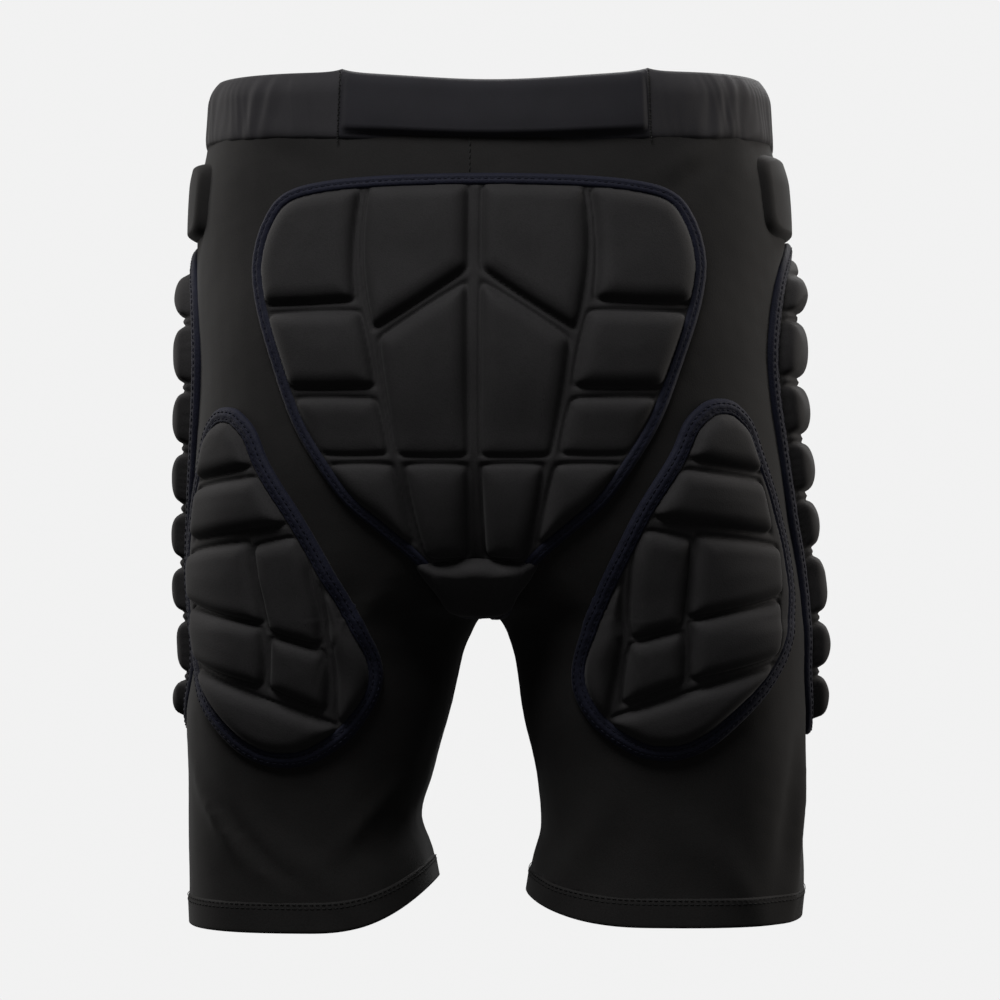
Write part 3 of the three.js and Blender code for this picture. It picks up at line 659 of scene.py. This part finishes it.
def above(place, u, v, height):
    """Points a given height above the cloth."""
    step = 0.005
    point = place(u, v)
    along = place(u + step, v) - place(u - step, v)
    downward = place(u, v + step) - place(u, v - step)
    normal = np.cross(along, downward)
    normal /= np.maximum(np.linalg.norm(normal, axis=-1, keepdims=True), 1e-12)
    outward = point * (0.5, 1, 0)
    normal *= np.where((normal * outward).sum(-1, keepdims=True) < 0, -1, 1)
    return point + normal * np.asarray(height)[..., None]


def on_tongue(across, depth):
    point = on_back(across, depth)
    rim = on_back(np.where(across < 0, -TONGUE_BRIDGE, TONGUE_BRIDGE), depth)
    share = np.clip(np.abs(across) / TONGUE_BRIDGE, 0, 1)
    bridged = np.minimum(point[..., 1], rim[..., 1] - 0.003 * (1 - share ** 2))
    point[..., 1] = np.where(share < 1, bridged, point[..., 1])
    return point


def smooth_outline(points, count):
    """Closed curve through the points, evenly spaced."""
    points = np.asarray(points, float)
    n = len(points)
    t = np.arange(0, 1, 1 / 24)[:, None]
    curve = []
    for i in range(n):
        p0, p1, p2, p3 = (points[(i + k) % n] for k in (-1, 0, 1, 2))
        k0, k1, k2, k3 = np.cumsum([0] + [max(np.linalg.norm(b - a), 1e-9) ** 0.5
                                          for a, b in ((p0, p1), (p1, p2), (p2, p3))])
        s = k1 + t * (k2 - k1)
        a1 = (k1 - s) / (k1 - k0) * p0 + (s - k0) / (k1 - k0) * p1
        a2 = (k2 - s) / (k2 - k1) * p1 + (s - k1) / (k2 - k1) * p2
        a3 = (k3 - s) / (k3 - k2) * p2 + (s - k2) / (k3 - k2) * p3
        b1 = (k2 - s) / (k2 - k0) * a1 + (s - k0) / (k2 - k0) * a2
        b2 = (k3 - s) / (k3 - k1) * a2 + (s - k1) / (k3 - k1) * a3
        curve.append((k2 - s) / (k2 - k1) * b1 + (s - k1) / (k2 - k1) * b2)
    curve = np.concatenate(curve)
    closed = np.vstack([curve, curve[:1]])
    length = np.concatenate([[0], np.cumsum(np.linalg.norm(np.diff(closed, axis=0), axis=1))])
    at = np.linspace(0, length[-1], count, endpoint=False)
    return np.stack([np.interp(at, length, closed[:, 0]), np.interp(at, length, closed[:, 1])], axis=1)


def offset_outline(outline, distance):
    ahead = np.roll(outline, -1, axis=0) - np.roll(outline, 1, axis=0)
    ahead /= np.linalg.norm(ahead, axis=1, keepdims=True)
    area = (outline[:, 0] * np.roll(outline[:, 1], -1) - np.roll(outline[:, 0], -1) * outline[:, 1]).sum()
    way = distance if area > 0 else -distance
    return outline + way * np.stack([ahead[:, 1], -ahead[:, 0]], axis=1)


def inside_distance(outline, u, v):
    """Distance to an outline, above zero inside it."""
    nearest = np.full(u.shape, 1e9)
    crossings = np.zeros(u.shape, int)
    for (u0, v0), (u1, v1) in zip(outline, np.roll(outline, -1, axis=0)):
        du, dv = u1 - u0, v1 - v0
        t = np.clip(((u - u0) * du + (v - v0) * dv) / max(du * du + dv * dv, 1e-18), 0, 1)
        nearest = np.minimum(nearest, (u - u0 - t * du) ** 2 + (v - v0 - t * dv) ** 2)
        spans = (v0 > v) != (v1 > v)
        crossings += spans & (u < u0 + (v - v0) * du / (dv if dv else 1e-18))
    return np.where(crossings % 2 == 1, 1, -1) * np.sqrt(nearest)


def cell_height(corners, bows, edge, inside, u, v, shoulder):
    """Height share of one cell: steep at its foot, round at its shoulders and nearly flat on top. Its sides
    are bowed, and one that lies along the binding follows it."""
    centre = corners.mean(axis=0)
    kept = [inside - 0.0004]
    for a, b, bow in zip(corners, np.roll(corners, -1, axis=0), bows):
        middle = (a + b) / 2
        if inside_distance(edge, middle[:1], middle[1:])[0] < TAPE_NEAR:
            continue
        length = np.linalg.norm(b - a)
        along = (b - a) / length
        inward = np.array([-along[1], along[0]])
        if (centre - a) @ inward < 0:
            inward = -inward
        t = np.clip(((u - a[0]) * along[0] + (v - a[1]) * along[1]) / length, 0, 1)
        kept.append((u - a[0]) * inward[0] + (v - a[1]) * inward[1] + bow * 4 * t * (1 - t))
    soft = -CELL_BLEND * np.log(sum(np.exp(-np.clip(far, -0.02, 0.04) / CELL_BLEND) for far in kept))
    height = np.sqrt(1 - (1 - np.clip(soft / shoulder, 0, 1)) ** 2) * ease_between(-0.0002, 0.0010, soft)
    return height * (0.86 + 0.14 * np.clip(soft / max(soft.max(), 1e-6), 0, 1) ** 0.8), soft


def corner_points(row, across, down):
    return np.array([[across(row[i]), down(row[i + 1])] for i in range(0, 8, 2)])


def blurred(values):
    for axis in (0, 1):
        near = np.pad(values, [(1, 1) if k == axis else (0, 0) for k in (0, 1)], mode="edge")
        values = (near.take(range(0, near.shape[axis] - 2), axis) + 2 * values
                  + near.take(range(2, near.shape[axis]), axis)) / 4
    return values


def pad_mesh(place, edge, cells, height, pitch, shoulder, bed=SLAB):
    """Skin of a pad of cells, reaching just under its binding. cells: corners and the bows of their sides."""
    low, high = edge.min(axis=0) - 0.003, edge.max(axis=0) + 0.003
    us = np.arange(low[0], high[0], pitch)
    vs = np.arange(low[1], high[1], pitch)
    u, v = np.meshgrid(us, vs)
    inside = inside_distance(edge, u, v)
    base = SLAB + (bed - SLAB) * np.sqrt(1 - (1 - np.clip((inside - 0.001) / 0.008, 0, 1)) ** 2)
    rise = np.zeros(u.shape)
    nearest = np.full(u.shape, -1.0)
    for corners, bows in cells:
        share, near = cell_height(corners, bows, edge, inside, u, v, shoulder)
        rise = np.maximum(rise, share)
        nearest = np.maximum(nearest, near)
    foot = FOOT_DEPTH * np.exp(-((nearest + 0.0006) / 0.0008) ** 2)
    middle = CHANNEL_RISE * ease_between(0.0016, 0.0030, -nearest) * (nearest > -0.02)
    top = height(v) if callable(height) else height
    lift = base + (top - base) * blurred(rise) - (foot - middle) * ease_between(0, 0.002, inside)
    flat = np.stack([u, v, 0 * u], axis=-1).reshape(-1, 3)
    lift += PAD_RUMPLE * soft_noise(flat, PAD_RUMPLE_SIZE, len(cells)).reshape(u.shape)
    lift = np.where(inside < 0, np.maximum(np.minimum(lift, SLAB) + inside * 0.8, 0.0006), lift)
    points = above(place, u, v, lift).reshape(-1, 3)
    keep = (inside > -UNDER_TAPE).ravel()
    columns = len(us)
    a = (np.arange(len(vs) - 1)[:, None] * columns + np.arange(columns - 1)[None, :]).ravel()
    quads = np.stack([a, a + 1, a + columns + 1, a + columns], axis=1)
    quads = quads[keep[quads].all(axis=1)]
    used = np.unique(quads)
    renumber = np.full(len(points), -1)
    renumber[used] = np.arange(len(used))
    return points[used], renumber[quads]


def pad_piece(name, meshes):
    """A pad from its skins, with a thickness of foam under them."""
    turned = []
    for points, faces in meshes:
        a, b, c = (points[faces[len(faces) // 2][k]] for k in (0, 1, 2))
        faces_out = np.cross(b - a, c - a) @ (a * (1, 1, 0)) > 0
        turned.append((points, faces if faces_out else faces[:, ::-1]))
    piece = join_parts(name, turned)
    foam = piece.modifiers.new("foam", "SOLIDIFY")
    foam.thickness = SKIN
    foam.offset = -1
    apply_modifiers(piece)
    piece.data.polygons.foreach_set("use_smooth", [True] * len(piece.data.polygons))
    return piece


def seat_across(share):
    return share * SEAT_PAD["half"]


def seat_down(share):
    return SEAT_PAD["top"] + share * SEAT_PAD["height"]


def seat_height(down):
    """The cells are thinner where the pad bends under the seat."""
    bend = np.exp(-((down - seat_down(SEAT_BEND["down"])) / SEAT_BEND["spread"]) ** 2)
    return SEAT_PAD["cell"] * (1 - SEAT_BEND["thinner"] * bend)


half = [(seat_across(w), seat_down(d)) for d, w in SEAT_OUTLINE]
seat_edge = offset_outline(smooth_outline(half + [(-u, v) for u, v in half[::-1]], 420), -BINDING_WIDTH)
seat_cells = [(corner_points(row, lambda w, s=s: s * seat_across(w), seat_down),
               (CELL_BOW, row[8], CELL_BOW, row[9]))
              for row in SEAT_CELLS for s in (1, -1)]
tongue_edge = smooth_outline([(seat_across(w), seat_down(d)) for w, d in TONGUE], 120)
PAD_COLOUR = (0.0106, 0.0101, 0.0105)
pad_cloth = fabric("pad_cloth", PAD_COLOUR, 0.8, 0.03, grain=0.0008, bump=0.14)


def tongue_mesh():
    """A pillow inside the tongue's outline, in rings from its foot to its middle."""
    centre = tongue_edge.mean(axis=0)
    shares = 1 - np.linspace(0, 1, 40) ** 1.6
    rings = []
    for share in shares:
        line = centre + (tongue_edge - centre) * share
        rise = TONGUE_HEIGHT * np.sqrt(1 - (1 - np.clip((1 - share) / 0.45, 0, 1)) ** 2)
        rings.append(above(on_tongue, line[:, 0], line[:, 1], np.full(len(line), rise - 0.001 * (share == 1))))
    count = len(tongue_edge)
    j = np.arange(count)
    faces = [np.stack([i * count + j, i * count + (j + 1) % count, (i + 1) * count + (j + 1) % count,
                       (i + 1) * count + j], axis=1) for i in range(len(shares) - 1)]
    return np.concatenate(rings), np.concatenate(faces)


seat_skins = [pad_mesh(on_back, seat_edge, seat_cells, seat_height, SKIN_PITCH, SEAT_PAD["shoulder"]), tongue_mesh()]
seat_pad = pad_piece("seat_pad_cells", seat_skins)
seat_pad.data.materials.append(pad_cloth)
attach(seat_pad, "root")
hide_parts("seat_pad")

# Centre seam
# The halves of the shorts are joined by one flat seam down the middle of the back and of the front, which
# shows as a fine line between the waistband and the seat pad.
SEAM_PLACE = -0.0035
SEAM_TOP, SEAM_BACK_END, SEAM_FRONT_END = 0.038, 0.066, 0.285
SEAM_STEPS = 60
SEAM_STITCH = (0.0030, 0.0004, 0.00035)  # length, gap, radius


def on_front(across, depth):
    section = section_at(np.where(across < 0, -1, 1), depth)
    return section_point(section, -turn_behind(section, across))


seam_rows = []
for place, end in ((on_back, SEAM_BACK_END), (on_front, SEAM_FRONT_END)):
    depth = np.linspace(SEAM_TOP, end, SEAM_STEPS)
    line = place(np.full(SEAM_STEPS, SEAM_PLACE), depth)
    out = np.repeat([[0, math.copysign(1, line[0, 1]), 0]], SEAM_STEPS, axis=0)
    seam_rows.append(stitch_mesh(line + out * 0.0002, out, *SEAM_STITCH))
centre_seam = join_parts("centre_seam", seam_rows)
face_outwards(centre_seam)
centre_seam.data.materials.append(black_thread)
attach(centre_seam, "root")
with_shorts.append(centre_seam)

# Bindings
# Navy grosgrain tape folded over the edge of every pad and sewn down through the shorts, with one row of
# stitches on the seat pad and two on the wider tapes of the other pads.
BINDING_RISE = 0.0042
NAVY = (0.0036, 0.0041, 0.0094)
TAPE_ROWS = 13
TAPE_PUCKER = 0.00010
TAPE_STITCH = (0.0026, 0.0010, 0.00032)  # length, gap, radius


def binding_mesh(place, edge, width, rows_of_stitches):
    profile = []
    for share in np.linspace(-0.12, 1.0, TAPE_ROWS):
        hump = 1 - abs(2 * np.clip(share, 0, 1) - 0.85) ** 3 * 0.35
        rise = BINDING_RISE * hump
        if share < 0:
            rise = BINDING_RISE * 0.55
        for stitches in rows_of_stitches:
            rise -= 0.0005 * math.exp(-((share - stitches) / 0.09) ** 2)
        profile.append((share * width, rise))
    profile.append((width * 1.03, BINDING_RISE * 0.35))
    profile.append((width * 1.0, -0.0012))
    profile.append((width * 0.05, -0.0012))
    count = len(edge)
    loops = []
    along = np.arange(count) / count
    for k, (out, rise) in enumerate(profile):
        line = offset_outline(edge, out)
        pucker = TAPE_PUCKER * np.sin(along * 2 * math.pi * round(count / 4.3) + k * 0.4) if k < TAPE_ROWS else 0
        loops.append(above(place, line[:, 0], line[:, 1], rise + pucker + 0 * along))
    points = np.stack(loops).reshape(-1, 3)
    faces = []
    rows = len(profile)
    for i in range(rows):
        for j in range(count):
            k, n = (j + 1) % count, (i + 1) % rows
            faces.append((i * count + j, i * count + k, n * count + k, n * count + j))
    return points, faces


def sewn_binding(name, node, place, edge, width, rows_of_stitches):
    piece = join_parts(name, [binding_mesh(place, edge, width, rows_of_stitches)])
    face_outwards(piece)
    piece.data.materials.append(tape)
    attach(piece, "root")
    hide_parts(node)
    rows = []
    for share in rows_of_stitches:
        line = offset_outline(edge, share * width)
        low = above(place, line[:, 0], line[:, 1], np.zeros(len(line)))
        high = above(place, line[:, 0], line[:, 1], np.full(len(line), BINDING_RISE * 0.90))
        up = high - low
        up /= np.linalg.norm(up, axis=1, keepdims=True)
        rows.append(stitch_mesh(np.vstack([high, high[:1]]), np.vstack([up, up[:1]]), *TAPE_STITCH))
    stitches = join_parts(f"{name}_stitches", rows)
    face_outwards(stitches)
    stitches.data.materials.append(thread)
    stitches.parent = piece
    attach(stitches, "root")


tape = fabric("navy_tape", NAVY, 0.75, 0.02, grain=0.0010, bump=0.25)
thread = fabric("navy_thread", tuple(c * 0.7 for c in NAVY), 0.8, 0.0, grain=0.0004, bump=0.2)
sewn_binding("seat_pad_tape", "seat_pad_binding", on_back, seat_edge, BINDING_WIDTH, (0.5,))

# Thigh pads
# An egg-shaped pad of eight foam cells under matt cloth behind each thigh, leaning inwards as it goes down.
# It is sewn to the shorts through its binding.
WIDE_BINDING = 0.0085
WIDE_STITCHES = (0.28, 0.72)  # shares of its width
THIGH_PAD = {"height": 0.196, "width": 0.138, "cell": 0.0095, "shoulder": 0.008}
THIGH_TOP = {1: 0.182, -1: 0.186}
THIGH_START = {1: 0.054, -1: 0.042}
THIGH_OUTLINE = (  # down, outer edge, inner edge
    (0, .33, .43), (.022, .27, .49), (.06, .215, .55), (.14, .165, .615), (.28, .075, .745), (.42, .01, .84),
    (.56, 0, .925), (.70, .065, .995), (.80, .165, .985), (.90, .305, .895), (.965, .41, .775), (1, .52, .66),
)
THIGH_CELLS = (  # corners across and down, from the inner top round
    (.487, .015, .263, .036, .237, .194, .592, .153), (.645, .19, .217, .224, .158, .367, .75, .31),
    (.52, .372, .125, .408, .125, .541, .546, .597), (.763, .355, .546, .383, .572, .617, .77, .653),
    (.539, .612, .138, .556, .164, .709, .52, .77), (.776, .673, .579, .638, .553, .776, .776, .837),
    (.868, .485, .809, .51, .829, .862, 1, .776), (.816, .883, .21, .74, .29, .964, .77, 1.02),
)
ROUND_STEP = 0.0015
ROUND_REACH = 0.27
ROUND_TURNS = 361
DEPTH_STEP = 0.003


def on_side(side):
    """Points a given way round the leg from its outer side: back or, below zero, front."""
    depths = np.arange(0, BOTTOM + DEPTH_STEP, DEPTH_STEP)
    turns = np.linspace(-0.5, 0.5, ROUND_TURNS)
    rounds = np.arange(-ROUND_REACH, ROUND_REACH, ROUND_STEP)
    points = section_point(section_at(side, depths[:, None]), turns[None, :])
    run = np.concatenate([np.zeros((len(depths), 1)),
                          np.cumsum(np.linalg.norm(np.diff(points, axis=1), axis=2), axis=1)], axis=1)
    middle = ROUND_TURNS // 2
    run -= run[:, middle:middle + 1]
    turn_at = np.stack([np.interp(rounds, row, turns) for row in run])

    def place(around, depth):
        i = np.clip(depth / DEPTH_STEP, 0, len(depths) - 1.001)
        j = np.clip((around + ROUND_REACH) / ROUND_STEP, 0, len(rounds) - 1.001)
        i0, j0 = i.astype(int), j.astype(int)
        a, b = i - i0, j - j0
        turn = ((1 - a) * (1 - b) * turn_at[i0, j0] + (1 - a) * b * turn_at[i0, j0 + 1]
                + a * (1 - b) * turn_at[i0 + 1, j0] + a * b * turn_at[i0 + 1, j0 + 1])
        return section_point(section_at(side, depth), turn)
    return place


for side, end in ((1, "right"), (-1, "left")):
    def thigh_across(share):
        return THIGH_START[side] + share * THIGH_PAD["width"]

    def thigh_down(share):
        return THIGH_TOP[side] + share * THIGH_PAD["height"]

    thigh_outline = [(thigh_across(a), thigh_down(d)) for d, a, _ in THIGH_OUTLINE]
    thigh_outline += [(thigh_across(b), thigh_down(d)) for d, _, b in THIGH_OUTLINE[::-1]]
    thigh_edge = offset_outline(smooth_outline(thigh_outline, 300), -WIDE_BINDING)
    thigh_cells = [(corner_points(row, thigh_across, thigh_down), (CELL_BOW,) * 4) for row in THIGH_CELLS]
    thigh_skin = pad_mesh(on_side(side), thigh_edge, thigh_cells, THIGH_PAD["cell"], SKIN_PITCH,
                          THIGH_PAD["shoulder"])
    thigh_pad = pad_piece(f"thigh_pad_{end}_cells", [thigh_skin])
    thigh_pad.data.materials.append(pad_cloth)
    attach(thigh_pad, "root")
    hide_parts(f"thigh_pad_{end}")
    sewn_binding(f"thigh_pad_{end}_tape", f"thigh_pad_{end}_binding", on_side(side), thigh_edge, WIDE_BINDING,
                 WIDE_STITCHES)

# Side pads
# A long pad of thick foam cells on a foam bed down each hip, in eight rows of one or two, wide at the hip bone
# and narrow at the thigh. It is sewn to the shorts through its binding.
SIDE_PAD = {"top": 0.092, "height": 0.276, "half": 0.058, "cell": 0.0135, "split": 0.020,
            "shoulder": 0.0115}
SIDE_PITCH = 0.00115
SIDE_BED = 0.0075
SIDE_FORWARD = {1: 0.0, -1: 0.007}  # the left pad sits further round to the front
GROOVE = 0.0065
SIDE_OUTLINE = (  # down, back edge, front edge
    (0, .15, .15), (.065, .70, .66), (.20, 1, .97), (.32, 1, 1), (.46, .86, .94), (.645, .60, .80),
    (.81, .52, .66), (.94, .34, .40), (1, .10, .12),
)
SIDE_GROOVES = {1: (.055, .150, .282, .398, .515, .630, .763, .873, .975),
                -1: (.045, .157, .292, .417, .540, .652, .760, .892, .975)}


def side_down(share):
    return SIDE_PAD["top"] + share * SIDE_PAD["height"]


def side_reach(index, share):
    rows = np.array(SIDE_OUTLINE)
    return float(smooth_through(rows[:, 0], rows[:, index], share)) * SIDE_PAD["half"]


side_outline = [(a * SIDE_PAD["half"], side_down(d)) for d, a, _ in SIDE_OUTLINE]
side_outline += [(-b * SIDE_PAD["half"], side_down(d)) for d, _, b in SIDE_OUTLINE[::-1]]
side_edge = offset_outline(smooth_outline(side_outline, 320), -WIDE_BINDING)
for side, end in ((1, "right"), (-1, "left")):
    side_cells = []
    for top, low in zip(SIDE_GROOVES[side][:-1], SIDE_GROOVES[side][1:]):
        y0, y1 = side_down(top) + GROOVE / 2, side_down(low) - GROOVE / 2
        margin = WIDE_BINDING + GROOVE / 2
        split = -SIDE_PAD["split"]
        side_cells.append((np.array([[split + GROOVE / 2, y0], [side_reach(1, top) - margin, y0],
                                     [side_reach(1, low) - margin, y1], [split + GROOVE / 2, y1]]), (CELL_BOW,) * 4))
        high, deep = margin - side_reach(2, top), margin - side_reach(2, low)
        if split - GROOVE - max(high, deep) >= GROOVE:
            side_cells.append((np.array([[high, y0], [split - GROOVE / 2, y0], [split - GROOVE / 2, y1], [deep, y1]]),
                               (CELL_BOW,) * 4))
    on_hip = on_side(side)

    def place(around, depth):
        return on_hip(around - SIDE_FORWARD[side], depth)

    side_skin = pad_mesh(place, side_edge, side_cells, SIDE_PAD["cell"], SIDE_PITCH, SIDE_PAD["shoulder"],
                         bed=SIDE_BED)
    side_pad = pad_piece(f"side_pad_{end}_cells", [side_skin])
    side_pad.data.materials.append(pad_cloth)
    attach(side_pad, "root")
    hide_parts(f"side_pad_{end}")
    sewn_binding(f"side_pad_{end}_tape", f"side_pad_{end}_binding", place, side_edge, WIDE_BINDING, WIDE_STITCHES)

# Hip bone pads
# A small smooth pad of thin foam just under the band on each side, held beneath a patch of the same jersey
# that is joined to the shorts all round.
HIP_BONE_PAD = {"foot": 0.090, "half": 0.059}
HIP_BONE_TOP = {1: 0.0435, -1: 0.0465}
HIP_BONE_RISE = {1: 0.0042, -1: 0.0056}
HIP_BONE_SINK = 0.0008  # its edge lies this far inside the cloth
HIP_BONE_SHOULDER = 0.2
HIP_BONE_ROWS, HIP_BONE_COLUMNS = 60, 150


def hip_bone_mesh(side):
    rows, columns = HIP_BONE_ROWS, HIP_BONE_COLUMNS
    v, u = np.meshgrid(np.linspace(-1, 1, rows), np.linspace(-1, 1, columns), indexing="ij")
    radius = (np.abs(u) ** 8 + np.abs(v) ** 5) ** 0.2
    swell = np.clip(1 - radius, 0, 1)
    crown = 1 - (1 - np.clip(swell / HIP_BONE_SHOULDER, 0, 1)) ** 2
    height = -HIP_BONE_SINK + (HIP_BONE_RISE[side] + HIP_BONE_SINK) * crown
    depth = HIP_BONE_TOP[side] + (HIP_BONE_PAD["foot"] - HIP_BONE_TOP[side]) * (v + 1) / 2
    points = above(on_side(side), u * HIP_BONE_PAD["half"], depth, height).reshape(-1, 3)
    faces = [(i * columns + j, i * columns + j + 1, (i + 1) * columns + j + 1, (i + 1) * columns + j)
             for i in range(rows - 1) for j in range(columns - 1)]
    return points, faces


for side, end in ((1, "right"), (-1, "left")):
    patch = join_parts(f"hip_bone_patch_{end}", [hip_bone_mesh(side)])
    middle = patch.data.polygons[len(patch.data.polygons) // 2]
    if middle.normal.x * side < 0:
        patch.data.flip_normals()
    backing = patch.modifiers.new("backing", "SOLIDIFY")
    backing.thickness = SKIN
    backing.offset = -1
    apply_modifiers(patch)
    patch.data.polygons.foreach_set("use_smooth", [True] * len(patch.data.polygons))
    patch.data.materials.append(jersey)
    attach(patch, "root")
    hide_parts(f"hip_bone_pad_{end}")
